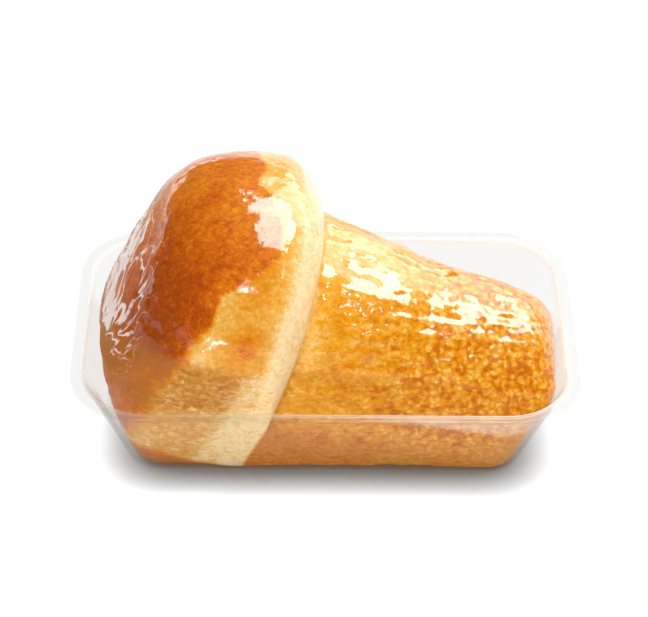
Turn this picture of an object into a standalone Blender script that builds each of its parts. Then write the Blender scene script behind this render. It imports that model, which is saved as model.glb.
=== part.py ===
"""Rum baba: a mushroom-shaped yeast cake soaked in syrup, lying on its side in a clear, drafted tray.

Metres, +Z up. The tray stands on Z = 0 with its long side along X. The cake's cap is at -X, over the rim;
its stem slopes down to +X and rests on the tray's floor.
"""
import bmesh
import bpy
import numpy as np

for thing in list(bpy.data.objects):
    bpy.data.objects.remove(thing, do_unlink=True)

# Tray, measured over the outer edge of its flange.
TRAY_LENGTH = 0.127
TRAY_WIDTH = 0.077
TRAY_HEIGHT = 0.0288
FLANGE_WIDTH = 0.0030
WALL_DRAFT = 0.0108
RIM_CORNER = 0.0183
CORNER_SHRINK = 0.77
FOOT_RADIUS = 0.0026
LIP_RADIUS = 0.0012
SHEET = 0.0005
CORNER_FACETS = 3
FACETS_FROM = 0.08
FACETS_TO = 0.72
FACETS_SPAN = 0.2

# Cake, measured along its own axis from the widest ring of the cap.
CAP_RADIUS = 0.0421
CAP_DEPTH = 0.0353
CAP_FULLNESS = 2.21
SHOULDER_REACH = 0.0117
SHOULDER_FULLNESS = 1.52
STEM_ROOT_RADIUS = 0.0303
STEM_END_RADIUS = 0.0193
STEM_WAIST = 0.0012
CAKE_LENGTH = 0.1183
END_ROUND = 0.0072
END_DOME = 0.0010

# How the cake lies.
CAP_CENTRE = (-0.0214, -0.0009, 0.0315)
AXIS_TILT = 9.5
AXIS_TURN = 4.6
CAP_LEAN = 0.147
CAP_TWIST = -0.044
LEAN_FADE = 0.045
END_LEAN = 0.36
END_LEAN_FROM = 0.45
END_LEAN_SPAN = 0.5
CROWN_POWER = 1.5
CROWN_OUTWARD = 1.2
CROWN_SAG = -0.0007
STEM_SAG = -0.0013

# How the soaked crumb gives way: its lower side slumps square, and it is held inside the tray's walls.
SLUMP_POWER = 7.0
SLUMP_FROM = -0.030
SLUMP_SPAN = 0.020
CAP_INSIDE = 0.022
STEM_INSIDE = 0.062
CLEARANCE = 0.0003
LIP_GUARD = 0.0005
LIP_GUARD_RISE = 0.006
FLARE = 0.45
BEVEL_RISE = 4.0
SOFTNESS = 0.0012
SOFT_REACH = 0.008
SOFT_LEAST = 0.02

# Broad lumps of the risen dough: place, reach and height.
LUMPS = (
    ((-0.049, 0.012, 0.055), 0.013, -0.0024),
    ((-0.038, 0.012, 0.067), 0.012, 0.0037),
    ((-0.005, 0.008, 0.064), 0.008, -0.0015),
    ((0.018, 0.014, 0.048), 0.012, 0.0005),
    ((0.045, 0.010, 0.039), 0.010, 0.0019),
    ((0.056, -0.022, 0.020), 0.009, 0.0015),
    ((-0.026, -0.041, 0.038), 0.016, -0.0042),
)

CAKE_RINGS = 60
CAKE_AROUND = 66
SIDE_DENSITY = 0.2
CORNER_POINTS = 10
SIDE_POINTS = (7, 4)


def ease(value):
    """Smooth step from 0 to 1."""
    value = np.clip(value, 0.0, 1.0)
    return value * value * (3.0 - 2.0 * value)


def resample(points, count):
    """The same polyline with its points evenly spaced."""
    step = np.linalg.norm(np.diff(points, axis=0), axis=1)
    along = np.concatenate([[0.0], np.cumsum(step)])
    places = np.linspace(0.0, along[-1], count)
    return np.stack([np.interp(places, along, points[:, 0]), np.interp(places, along, points[:, 1])], axis=1)


def cake_outline(count):
    """Half outline of the cake (distance along the axis, radius) from the crown to the middle of the stem's end."""
    turn = np.linspace(0.0, np.pi / 2, 60)
    dome_power = 2.0 / CAP_FULLNESS
    dome = np.stack([-CAP_DEPTH * np.cos(turn) ** dome_power, CAP_RADIUS * np.sin(turn) ** dome_power], axis=1)
    turn = np.linspace(np.pi / 2, 0.0, 30)[1:]
    fold_power = 2.0 / SHOULDER_FULLNESS
    drop = CAP_RADIUS - STEM_ROOT_RADIUS
    fold_along = SHOULDER_REACH * np.maximum(np.cos(turn), 0.0) ** fold_power
    fold = np.stack([fold_along, STEM_ROOT_RADIUS + drop * np.sin(turn) ** fold_power], axis=1)
    stop = CAKE_LENGTH - CAP_DEPTH - END_ROUND
    part = np.linspace(0.0, 1.0, 60)[1:]
    radius = STEM_ROOT_RADIUS + (STEM_END_RADIUS - STEM_ROOT_RADIUS) * part - STEM_WAIST * 4.0 * part * (1.0 - part)
    stem = np.stack([SHOULDER_REACH + (stop - SHOULDER_REACH) * part, radius], axis=1)
    turn = np.linspace(0.0, np.pi / 2, 16)[1:]
    flat = STEM_END_RADIUS - END_ROUND
    corner = np.stack([stop + END_ROUND * np.sin(turn), flat + END_ROUND * np.cos(turn)], axis=1)
    part = np.linspace(0.0, 1.0, 12)[1:]
    face = np.stack([stop + END_ROUND + END_DOME * part, flat * (1.0 - part)], axis=1)
    line = resample(np.concatenate([dome, fold, stem, corner, face]), 480)
    for _ in range(6):
        line[1:-1] = 0.25 * line[:-2] + 0.5 * line[1:-1] + 0.25 * line[2:]
    return resample(line, count)


def cake_axes():
    """Unit vectors of the cake: along its axis, to its side and upward."""
    tilt, turn = np.radians([AXIS_TILT, AXIS_TURN])
    along = np.array([np.cos(tilt) * np.cos(turn), -np.cos(tilt) * np.sin(turn), -np.sin(tilt)])
    lift = np.array([0.0, 0.0, 1.0]) - along[2] * along
    lift /= np.linalg.norm(lift)
    return along, np.cross(lift, along), lift


def ring_reach(depth):
    """Half length, half width and corner radius of the tray's outline, a depth inside its outer edge."""
    return TRAY_LENGTH / 2 - depth, TRAY_WIDTH / 2 - depth, RIM_CORNER - CORNER_SHRINK * depth


def tray_wall(offset):
    """Outline of the tray's sheet (depth from the outer edge, height) from flange to floor, moved inward by offset."""
    slope = np.arctan2(WALL_DRAFT, TRAY_HEIGHT)
    under = TRAY_HEIGHT - SHEET
    top = np.array([FLANGE_WIDTH, under])
    bottom = np.array([FLANGE_WIDTH + WALL_DRAFT, 0.0])
    bend = np.pi / 2 - slope
    lip_cut = LIP_RADIUS * np.tan(bend / 2)
    foot_cut = FOOT_RADIUS * np.tan(bend / 2)
    lip_turn = np.linspace(0.0, bend, 7)
    lip = np.stack([top[0] - lip_cut + LIP_RADIUS * np.sin(lip_turn),
                    top[1] - LIP_RADIUS + LIP_RADIUS * np.cos(lip_turn)], axis=1)
    lip_out = np.stack([np.sin(lip_turn), np.cos(lip_turn)], axis=1)
    foot_turn = np.linspace(bend, 0.0, 9)
    foot = np.stack([bottom[0] + foot_cut - FOOT_RADIUS * np.sin(foot_turn),
                     FOOT_RADIUS - FOOT_RADIUS * np.cos(foot_turn)], axis=1)
    foot_out = np.stack([np.sin(foot_turn), np.cos(foot_turn)], axis=1)
    part = np.linspace(0.0, 1.0, 8)[1:-1, None]
    wall = lip[-1] * (1.0 - part) + foot[0] * part
    wall_out = np.repeat(lip_out[-1:], len(part), axis=0)
    edge = np.array([[0.0, under]])
    edge_out = np.array([[0.0, 1.0]])
    line = np.concatenate([edge, lip, wall, foot])
    return line + offset * np.concatenate([edge_out, lip_out, wall_out, foot_out])


def inside_tray(points):
    """How far each point stands outside the room left for the cake, negative inside it.

    The room follows the tray's walls up to the lip and flares out above it, so the cap swells over the flange.
    """
    line = tray_wall(SHEET + CLEARANCE)[7:]
    order = np.argsort(line[:, 1])
    height = points[..., 2]
    depth = np.interp(height, line[order, 1], line[order, 0])
    depth = depth + LIP_GUARD * ease((height - TRAY_HEIGHT) / LIP_GUARD_RISE + 1.0)
    depth = depth - FLARE * np.maximum(height - TRAY_HEIGHT - CLEARANCE, 0.0)
    half_x, half_y, corner = ring_reach(depth)
    over_x = np.abs(points[..., 0]) - (half_x - corner)
    over_y = np.abs(points[..., 1]) - (half_y - corner)
    beyond = np.hypot(np.maximum(over_x, 0.0), np.maximum(over_y, 0.0))
    bevel = np.clip(BEVEL_RISE * np.minimum(over_x, over_y) / corner, 0.0, 1.0)
    beyond = beyond * (1.0 + bevel * (1.0 / np.cos(np.pi / 4 / CORNER_FACETS) - 1.0))
    side = beyond + np.minimum(np.maximum(over_x, over_y), 0.0) - corner
    floor = SHEET + CLEARANCE - height
    return np.maximum(side, floor)


def press(centres, points):
    """Points drawn back toward the cake's middle until they clear the tray, softly, as the soaked crumb gives way."""
    steps = np.linspace(0.0, 1.25, 51)
    low = np.full(points.shape[:-1], 0.0)
    found = np.zeros(points.shape[:-1], dtype=bool)
    for after in steps[1:]:
        hit = inside_tray(centres + (points - centres) * after) > 0.0
        low = np.where(found | hit, low, after)
        found |= hit
    high = low + steps[1]
    for _ in range(16):
        middle = 0.5 * (low + high)
        clear = inside_tray(centres + (points - centres) * middle[..., None]) <= 0.0
        low, high = np.where(clear, middle, low), np.where(clear, high, middle)
    radius = np.maximum(np.linalg.norm(points - centres, axis=-1), 1e-9)
    room = np.where(found, low * radius, radius + 1.0)
    spread = SOFTNESS * np.clip(radius / SOFT_REACH, SOFT_LEAST, 1.0)
    held = 0.5 * (radius + room - np.sqrt((radius - room) ** 2 + spread ** 2))
    held = np.where(found, np.minimum(held, room), radius)
    return centres + (points - centres) * (held / radius)[..., None]


def cake_surface(rings, around):
    """Grid of points of the cake's skin, ring by ring from the crown to the stem's end."""
    line = cake_outline(rings)
    along_axis, side_axis, lift_axis = cake_axes()
    angle = np.linspace(0.0, 2 * np.pi, around, endpoint=False)[None]
    angle = angle - SIDE_DENSITY * np.sin(2 * angle)
    along = np.repeat(line[:, :1], around, axis=1)
    square = np.abs(np.cos(angle)) ** SLUMP_POWER + np.abs(np.sin(angle)) ** SLUMP_POWER
    slump = (square ** (-1.0 / SLUMP_POWER) - 1.0) * (np.sin(angle) < 0.0)
    radius = line[:, 1:] * (1.0 + slump * ease((along - SLUMP_FROM) / SLUMP_SPAN))
    side = radius * np.cos(angle)
    lift = radius * np.sin(angle)
    near_cap = 1.0 - ease((along - SHOULDER_REACH) / LEAN_FADE)
    far = np.clip(along / (CAKE_LENGTH - CAP_DEPTH), 0.0, 1.0)
    crown = np.clip(-along / CAP_DEPTH, 0.0, 1.0) ** CROWN_POWER
    along = along + near_cap * (CAP_LEAN * lift + CAP_TWIST * side)
    along = along - ease((far - END_LEAN_FROM) / END_LEAN_SPAN) * END_LEAN * lift
    sag = STEM_SAG * far + CROWN_SAG * crown
    centres = np.array(CAP_CENTRE) + along[..., None] * along_axis + sag[..., None] * lift_axis
    offset = side[..., None] * side_axis + lift[..., None] * lift_axis
    points = centres + offset
    outward = np.cos(angle)[..., None] * side_axis + np.sin(angle)[..., None] * lift_axis
    outward = outward - crown[..., None] * CROWN_OUTWARD * along_axis
    outward = outward / np.linalg.norm(outward, axis=-1, keepdims=True)
    swell = np.zeros(along.shape)
    for place, reach, height in LUMPS:
        distance = ((points - np.array(place)) ** 2).sum(axis=-1)
        swell = swell + height * np.exp(-distance / (2 * reach * reach))
    points = points + swell[..., None] * outward
    middle = np.array(CAP_CENTRE)
    reach = np.clip((centres[..., 0] - middle[0]) / along_axis[0], -CAP_INSIDE, STEM_INSIDE)
    anchors = middle + reach[..., None] * along_axis
    return press(anchors, points)


def rounded_ring(depth, height, faceting):
    """One outline of the tray at a depth from its outer edge: straight sides and corners, round or faceted."""
    half_x, half_y, corner = ring_reach(depth)
    turn = np.linspace(0.0, np.pi / 2, CORNER_POINTS)
    step = np.pi / 2 / CORNER_FACETS
    base = np.minimum(np.floor(turn / step + 1e-9), CORNER_FACETS - 1) * step
    part = (turn - base) / step
    chord_x = (1.0 - part) * np.cos(base) + part * np.cos(base + step)
    chord_y = (1.0 - part) * np.sin(base) + part * np.sin(base + step)
    arc_x = (1.0 - faceting) * np.cos(turn) + faceting * chord_x
    arc_y = (1.0 - faceting) * np.sin(turn) + faceting * chord_y
    corners = []
    for sign_x, sign_y, cos_q, sin_q in ((1, 1, 1, 0), (-1, 1, 0, 1), (-1, -1, -1, 0), (1, -1, 0, -1)):
        xs = sign_x * (half_x - corner) + corner * (cos_q * arc_x - sin_q * arc_y)
        ys = sign_y * (half_y - corner) + corner * (sin_q * arc_x + cos_q * arc_y)
        corners.append(np.stack([xs, ys], axis=1))
    pieces = []
    for index, here in enumerate(corners):
        after = corners[(index + 1) % 4][0]
        count = SIDE_POINTS[index % 2]
        part = np.linspace(0.0, 1.0, count + 2)[1:-1, None]
        pieces += [here, here[-1] * (1.0 - part) + after * part]
    ring = np.concatenate(pieces)
    return np.column_stack([ring, np.full(len(ring), height)])


def tray_surface():
    """Rings of the tray's closed sheet: up the outside from the base to the flange, then down the inside."""
    under = tray_wall(0.0)
    over = tray_wall(SHEET)
    edge_turn = np.linspace(-np.pi / 2, np.pi / 2, 5)[1:-1]
    edge_depth = SHEET / 2 - SHEET / 2 * np.cos(edge_turn)
    edge = np.stack([edge_depth, TRAY_HEIGHT - SHEET / 2 + SHEET / 2 * np.sin(edge_turn)], axis=1)
    under[0, 0] = over[0, 0] = SHEET / 2
    middle = 0.5 * (TRAY_WIDTH / 2 + under[-1, 0])
    line = np.concatenate([[[middle, 0.0]], under[::-1], edge, over, [[middle, SHEET]]])
    rings = []
    for depth, height in line:
        rise = height / TRAY_HEIGHT
        faceting = ease((rise - FACETS_FROM) / FACETS_SPAN) * (1.0 - ease((rise - FACETS_TO) / FACETS_SPAN))
        rings.append(rounded_ring(depth, height, faceting))
    return np.array(rings)


def closed_grid(rings):
    """Points and faces of a closed body from rings of equal size, its first and last ring each drawn to a point."""
    count, around = rings.shape[:2]
    first, last = rings[0].mean(axis=0), rings[-1].mean(axis=0)
    points = np.concatenate([first[None], rings[1:-1].reshape(-1, 3), last[None]])
    faces = []
    for row in range(count - 3):
        start = 1 + row * around
        for column in range(around):
            after = (column + 1) % around
            faces.append((start + column, start + after, start + around + after, start + around + column))
    bottom = 1 + (count - 3) * around
    for column in range(around):
        after = (column + 1) % around
        faces.append((0, 1 + after, 1 + column))
        faces.append((len(points) - 1, bottom + column, bottom + after))
    return points, faces


def add_body(name, rings, material, smooth):
    """One closed body with its faces turned outward."""
    points, faces = closed_grid(rings)
    mesh = bpy.data.meshes.new(name)
    mesh.from_pydata(points.tolist(), [], faces)
    shell = bmesh.new()
    shell.from_mesh(mesh)
    bmesh.ops.recalc_face_normals(shell, faces=shell.faces)
    if shell.calc_volume(signed=True) < 0.0:
        bmesh.ops.reverse_faces(shell, faces=shell.faces)
    shell.to_mesh(mesh)
    shell.free()
    for polygon in mesh.polygons:
        polygon.use_smooth = smooth
    mesh.materials.append(material)
    body = bpy.data.objects.new(name, mesh)
    bpy.context.scene.collection.objects.link(body)
    return body


def make_material(name, colour, roughness, alpha=1.0):
    """A plain surface finish."""
    material = bpy.data.materials.new(name)
    material.use_nodes = True
    shader = material.node_tree.nodes["Principled BSDF"]
    shader.inputs["Base Color"].default_value = (*colour, 1.0)
    shader.inputs["Roughness"].default_value = roughness
    shader.inputs["Metallic"].default_value = 0.0
    shader.inputs["Alpha"].default_value = alpha
    return material


def build():
    """The cake and its tray."""
    crumb = make_material("soaked crumb", (0.62, 0.27, 0.045), 0.22)
    sheet = make_material("clear thermoformed sheet", (0.90, 0.91, 0.92), 0.08, 0.25)
    add_body("baba", cake_surface(CAKE_RINGS, CAKE_AROUND), crumb, True)
    add_body("tray", tray_surface(), sheet, False)


build()
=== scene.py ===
import logging
from dataclasses import dataclass
from enum import Enum
from typing import Any

import bpy
import numpy as np
from mathutils import Matrix, Vector


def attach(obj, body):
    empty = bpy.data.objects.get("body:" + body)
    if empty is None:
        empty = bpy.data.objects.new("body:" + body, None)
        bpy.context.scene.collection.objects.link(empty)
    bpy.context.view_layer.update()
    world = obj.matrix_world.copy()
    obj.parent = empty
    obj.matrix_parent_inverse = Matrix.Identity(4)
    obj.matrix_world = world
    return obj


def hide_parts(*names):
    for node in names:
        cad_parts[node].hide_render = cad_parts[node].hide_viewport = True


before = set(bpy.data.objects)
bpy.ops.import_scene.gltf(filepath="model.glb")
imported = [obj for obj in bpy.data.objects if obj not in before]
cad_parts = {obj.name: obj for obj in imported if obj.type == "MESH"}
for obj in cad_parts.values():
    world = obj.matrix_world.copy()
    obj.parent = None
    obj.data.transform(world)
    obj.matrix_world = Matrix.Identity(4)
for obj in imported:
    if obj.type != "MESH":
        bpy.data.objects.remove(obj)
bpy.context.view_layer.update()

MILLIMETRE = 0.001
SPIRAL_MM = 500.0
# run marks where the glint streaks reach on the crown; the colour paints highlight along them.
CAKE_MARKS = ("bake", "stem", "pale", "tan", "coarse", "wet", "run", "film", "across", "round")
log = logging.getLogger("rum_baba")

Tree = bpy.types.NodeTree
Socket = bpy.types.NodeSocket
Value = Socket | float | tuple[float, ...]


class Side(Enum):
    """Which way a softbox stands from the cake, as degrees round from the viewer's side."""

    BACK = 143.0
    BEHIND = 152.0
    BACK_RIGHT = 130.0
    FAR_RIGHT = 109.0
    BACK_LEFT = -135.0
    RIGHT = 61.0
    FRONT = -8.0
    FRONT_LEFT = -24.0
    NEAR_LEFT = -32.0


def to_linear(hex_colour: str) -> tuple[float, float, float, float]:
    """Turns an sRGB hex colour into the linear values that shaders take.

    Args:
        hex_colour: six hex digits after a hash.

    Returns:
        Linear red, green and blue, and an alpha of one.
    """
    values = [int(hex_colour[i:i + 2], 16) / 255 for i in (1, 3, 5)]
    linear = [v / 12.92 if v <= 0.04045 else ((v + 0.055) / 1.055) ** 2.4 for v in values]
    return (*linear, 1.0)


def per_size(millimetres: float) -> float:
    """Texture scale on Object coordinates for a pattern whose features are this many millimetres across."""
    return 1.0 / (millimetres * MILLIMETRE)


def ease(value: np.ndarray) -> np.ndarray:
    """Smooth step: three times the square less twice the cube of a value held between 0 and 1."""
    value = np.clip(value, 0.0, 1.0)
    return value * value * (3.0 - 2.0 * value)


@dataclass(frozen=True)
class Rise:
    """Smooth step from nothing at a start to one after a run."""

    start: float
    run: float

    def at(self, value: np.ndarray) -> np.ndarray:
        """Height of the step at each value."""
        return ease((value - self.start) / self.run)


@dataclass(frozen=True)
class Bell:
    """Bell curve of height one about a middle: the exponential of minus the square over the reach."""

    middle: float
    reach: float

    def at(self, value: np.ndarray) -> np.ndarray:
        """Height of the bell at each value."""
        return np.exp(-((value - self.middle) / self.reach) ** 2)


def resample(points: np.ndarray, count: int) -> np.ndarray:
    """Spaces a polyline's points evenly along it.

    Args:
        points: two columns, one row for each point.
        count: how many points to return.

    Returns:
        The same line with its points an equal run apart.
    """
    step = np.linalg.norm(np.diff(points, axis=0), axis=1)
    along = np.concatenate([[0.0], np.cumsum(step)])
    places = np.linspace(0.0, along[-1], count)
    return np.stack([np.interp(places, along, column) for column in points.T], axis=1)


@dataclass(frozen=True)
class Unevenness:
    """Smooth random unevenness: seeded values on a lattice, blended between its corners."""

    seed: int

    def at(self, places: np.ndarray) -> np.ndarray:
        """Value between -1 and 1 at each place, changing over about one unit.

        Args:
            places: array whose last axis holds three coordinates in lattice units.

        Returns:
            The blend of the eight corner values round each place, with a quintic ease along each axis.
        """
        table = np.random.default_rng(self.seed).uniform(-1.0, 1.0, 4096)
        cell = np.floor(places).astype(np.int64)
        part = places - cell
        part = part ** 3 * (part * (part * 6.0 - 15.0) + 10.0)
        total = np.zeros(places.shape[:-1])
        for corner in np.ndindex(2, 2, 2):
            key = (cell[..., 0] + corner[0]) * 73856093
            key = key ^ (cell[..., 1] + corner[1]) * 19349663
            key = key ^ (cell[..., 2] + corner[2]) * 83492791
            weight = np.ones(places.shape[:-1])
            for axis, high in enumerate(corner):
                weight = weight * (part[..., axis] if high else 1.0 - part[..., axis])
            total += weight * table[key & 4095]
        return total


def heave(mm: np.ndarray, layers: tuple[tuple[int, float, float], ...]) -> np.ndarray:
    """Sums layers of unevenness.

    Args:
        mm: places in millimetres.
        layers: each layer's seed, size in millimetres and height.

    Returns:
        The sum of every layer's height times its unevenness at each place over its size.
    """
    return sum(height * Unevenness(seed).at(mm / size) for seed, size, height in layers)


def add_node(
    tree: Tree,
    kind: str,
    settings: dict[str, Any] | None = None,
    values: tuple[Value, ...] | dict[int, Value] = (),
    output: str | int = 0,
    **inputs: Value,
) -> Socket | None:
    """Adds a node with its settings and links.

    Args:
        tree: the node tree that takes it.
        kind: the node's type name after ShaderNode.
        settings: properties to set on it; "stops" holds a ramp's positions and sRGB hex colours.
        values: values or sockets for its first inputs in order, or for inputs by number.
        output: the name or number of the output wanted.
        inputs: values or sockets for its inputs, named with underscores for spaces.

    Returns:
        The output wanted, or None from a node that has none.
    """
    node = tree.nodes.new("ShaderNode" + kind)
    settings = dict(settings or {})
    for position, colour in settings.pop("stops", {}).items():
        elements = node.color_ramp.elements
        used = [element for element in elements if abs(element.position - position) < 1e-6]
        element = used[0] if used else elements.new(position)
        element.color = to_linear(colour)
    for name, value in settings.items():
        setattr(node, name, value)
    numbered = values if isinstance(values, dict) else dict(enumerate(values))
    named = {name.replace("_", " "): value for name, value in inputs.items()}
    for key, value in [*named.items(), *numbered.items()]:
        socket = node.inputs[key]
        if isinstance(value, Socket):
            tree.links.new(value, socket)
        else:
            socket.default_value = value
    return node.outputs[output] if node.outputs else None


def start_material(name: str) -> tuple[bpy.types.Material, Tree]:
    """New material of this name, with its emptied node tree."""
    material = bpy.data.materials.new(name)
    material.use_nodes = True
    material.node_tree.nodes.clear()
    return material, material.node_tree


def weigh_in(tree: Tree, start: Value, weights: dict[str, float], levels: dict[str, Socket]) -> Socket:
    """Adds patterns to a value: each one's weight times what its level is above a half.

    Args:
        tree: the node tree that takes the sums.
        start: the value to start from.
        weights: the patterns' names and weights, in the order in which they are added.
        levels: each pattern's level by name.

    Returns:
        The sum.
    """
    for name, weight in weights.items():
        above = add_node(tree, "Math", {"operation": "SUBTRACT"}, (levels[name], 0.5))
        start = add_node(tree, "Math", {"operation": "MULTIPLY_ADD"}, (above, weight, start))
    return start


@dataclass(frozen=True)
class SyrupSoakedCrumb:
    """Yeast-dough crumb, oven baked and soaked in syrup.

    Its crust goes from cream where the dough was shielded to orange-brown on the crown, the stem shows the
    mould-pressed cells of the crumb, and the syrup lies over all of it as a clear wet coat.
    """

    crust_stops: tuple[tuple[float, str], ...] = (
        (0.0, "#F5D8A4"),
        (0.20, "#EAB052"),
        (0.40, "#DE9114"),
        (0.52, "#DA7810"),
        (0.60, "#CC6808"),
        (0.70, "#B85204"),
        (0.80, "#A24604"),
        (1.0, "#843604"),
    )
    stem_stops: tuple[tuple[float, str], ...] = (
        (0.0, "#F2C680"),
        (0.34, "#E8A834"),
        (0.62, "#DF9008"),
        (1.0, "#C26604"),
    )
    crust_mottle: tuple[tuple[str, float], ...] = (
        ("blotch", 0.28),
        ("fleck", 0.34),
        ("grain", 0.30),
        ("fibre", 0.45),
    )
    stem_mottle: tuple[tuple[str, float], ...] = (("fibre", 1.50), ("blotch", 0.60), ("grain", 0.50))
    tan_mottle: tuple[tuple[str, float], ...] = (("fibre", 2.2), ("fleck", 1.4))
    skin_relief: tuple[tuple[str, float], ...] = (("fibre", 1.4), ("celled", -0.8))
    syrup_relief: tuple[tuple[str, float], ...] = (("celled", -0.7), ("pool", 7.0))
    stem_level: float = 0.40
    stem_cells: float = 1.10
    stem_paling: float = -0.70
    tan: str = "#A86618"
    # wet darkens the stem where it lies against the sheet: partly wet contact, partly painted shade.
    wet: str = "#E4C890"
    # syrup is the pale colour of the glint streaks: a painted highlight.
    syrup: str = "#F8EAE2"
    grain_mm: float = 0.55
    fibre_mm: float = 1.2
    fleck_mm: float = 1.5
    cell_mm: float = 1.6
    pool_mm: float = 3.8
    blotch_mm: float = 7.0
    stray_mm: float = 3.0
    stray_reach: float = 0.0030
    fibre_slant: tuple[float, float, float] = (0.0, 0.17, -0.08)
    fibre_stretch: tuple[float, float, float] = (0.55, 1.0, 1.0)
    # Size, reach and edge of the glint streaks, which carry painted highlight and a full coat.
    glint_streak_mm: float = 2.6
    glint_streak_long_mm: float = 13.0
    glint_streak_reach: float = 0.125
    glint_streak_edge: float = 55.0
    glint_paint_cover: float = 0.74
    skin_depth: float = 0.00022
    syrup_depth: float = 0.00020
    glow_depth: float = 0.0020
    glow_share: tuple[float, float, float] = (1.0, 0.38, 0.10)

    def patterns(self, tree: Tree) -> dict[str, Socket]:
        """Adds the patterns that the colours and the relief draw on.

        The fibres are a noise drawn out along the stem, a little slanted. They and the cells stray by a
        broader noise.

        Args:
            tree: the material's node tree.

        Returns:
            Each pattern's level by name.
        """
        place = add_node(tree, "TexCoord", output="Object")
        stray = add_node(
            tree, "TexNoise", output="Color", Vector=place, Scale=per_size(self.stray_mm), Detail=3.0
        )
        shift = add_node(tree, "VectorMath", {"operation": "SCALE"}, (stray,), Scale=self.stray_reach)
        drawn = add_node(tree, "Mapping", Vector=place, Rotation=self.fibre_slant, Scale=self.fibre_stretch)
        drawn = add_node(tree, "VectorMath", {"operation": "ADD"}, (drawn, shift))
        strayed = add_node(tree, "VectorMath", {"operation": "ADD"}, (place, shift))
        noises = {
            "grain": (place, self.grain_mm, 2.0, 0.5),
            "fleck": (place, self.fleck_mm, 3.0, 0.65),
            "blotch": (place, self.blotch_mm, 4.0, 0.6),
            "fibre": (drawn, self.fibre_mm, 3.0, 0.6),
            "pool": (place, self.pool_mm, 1.0, 0.5),
        }
        levels = {}
        for name, (where, size, detail, roughness) in noises.items():
            levels[name] = add_node(
                tree, "TexNoise", Vector=where, Scale=per_size(size), Detail=detail, Roughness=roughness
            )
        levels["cells"] = add_node(
            tree, "TexVoronoi", {"feature": "F1"}, Vector=strayed, Scale=per_size(self.cell_mm)
        )
        return levels

    def glint_streaks(self, tree: Tree, marks: dict[str, Socket]) -> Socket:
        """Adds the glint streaks, which carry painted highlight: noise drawn out along the crown's spiral,
        with a line wherever it is near a half.

        Args:
            tree: the material's node tree.
            marks: the mesh's attributes by name.

        Returns:
            How much of a glint streak covers each spot, from 0 to 1.
        """
        place = add_node(tree, "CombineXYZ", values=(marks["across"], marks["round"]))
        stretch = (SPIRAL_MM / self.glint_streak_mm, SPIRAL_MM / self.glint_streak_long_mm, 0.0)
        place = add_node(tree, "VectorMath", {"operation": "MULTIPLY"}, (place, stretch))
        stream = add_node(tree, "TexNoise", Vector=place, Scale=1.0, Detail=2.0, Distortion=0.5)
        valley = add_node(tree, "Math", {"operation": "SUBTRACT"}, (stream, 0.5))
        valley = add_node(tree, "Math", {"operation": "ABSOLUTE"}, (valley,))
        reach = add_node(tree, "Math", {"operation": "MULTIPLY"}, (marks["run"], self.glint_streak_reach))
        within = add_node(tree, "Math", {"operation": "SUBTRACT"}, (reach, valley))
        return add_node(tree, "Math", {"operation": "MULTIPLY", "use_clamp": True}, (within, self.glint_streak_edge))

    def colours(
        self, tree: Tree, marks: dict[str, Socket], levels: dict[str, Socket], glint_streak: Socket
    ) -> Socket:
        """Adds the colours: the crust's ramp, the stem's over it, then tan skin, wet skin darkened partly as
        painted shade, and pale streaks of painted highlight.

        Args:
            tree: the material's node tree.
            marks: the mesh's attributes by name.
            levels: the patterns' levels by name.
            glint_streak: how much of a glint streak, painted as highlight, covers each spot.

        Returns:
            The base colour.
        """
        baked = weigh_in(tree, marks["bake"], dict(self.crust_mottle), levels)
        crust = add_node(tree, "ValToRGB", {"stops": dict(self.crust_stops)}, (baked,))
        mottled = weigh_in(tree, self.stem_level, dict(self.stem_mottle), levels)
        mottled = add_node(
            tree, "Math", {"operation": "MULTIPLY_ADD"}, (levels["celled"], self.stem_cells, mottled)
        )
        mottled = weigh_in(tree, mottled, {"pale": self.stem_paling}, marks)
        stem = add_node(tree, "ValToRGB", {"stops": dict(self.stem_stops)}, (mottled,))
        tanned = weigh_in(tree, 1.0, dict(self.tan_mottle), levels)
        tanned = add_node(tree, "Math", {"operation": "MULTIPLY", "use_clamp": True}, (marks["tan"], tanned))
        # Painted highlight: the colour is lightened toward the pale syrup colour along the glint streaks.
        painted_glint = add_node(tree, "Math", {"operation": "MULTIPLY"}, (glint_streak, self.glint_paint_cover))
        colour = crust
        for share, over, kind in (
            (marks["stem"], stem, "MIX"),
            (tanned, to_linear(self.tan), "MIX"),
            (marks["wet"], to_linear(self.wet), "MULTIPLY"),
            (painted_glint, to_linear(self.syrup), "MIX"),
        ):
            settings = {"data_type": "RGBA", "blend_type": kind}
            colour = add_node(tree, "Mix", settings, {0: share, 6: colour, 7: over}, output=2)
        return colour

    def make(self) -> bpy.types.Material:
        """Builds the material.

        Returns:
            A Principled shader whose colour follows the attributes of the cake's mesh and paints highlight in
            pale streaks on the crown, and whose coat is thinner where the syrup has drawn off the crown into
            those streaks.
        """
        # Baked dough gives a grainy, mottled crust. The syrup fills it, so it glows a little from within, and
        # lies over it as a glassy film that breaks up each glint.
        material, tree = start_material("syrup_soaked_crumb_oven_baked")
        marks = {
            name: add_node(tree, "Attribute", {"attribute_name": name}, output="Fac") for name in CAKE_MARKS
        }
        levels = self.patterns(tree)
        levels["celled"] = add_node(
            tree, "Math", {"operation": "MULTIPLY"}, (levels["cells"], marks["coarse"])
        )
        glint_streak = self.glint_streaks(tree, marks)
        colour = self.colours(tree, marks, levels, glint_streak)
        height = weigh_in(tree, levels["grain"], dict(self.skin_relief), levels)
        sheen = weigh_in(tree, levels["fibre"], dict(self.syrup_relief), levels)
        rough = add_node(tree, "Bump", Strength=0.6, Distance=self.skin_depth, Height=height)
        film = add_node(tree, "Bump", Strength=0.22, Distance=self.syrup_depth, Height=sheen)
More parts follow.
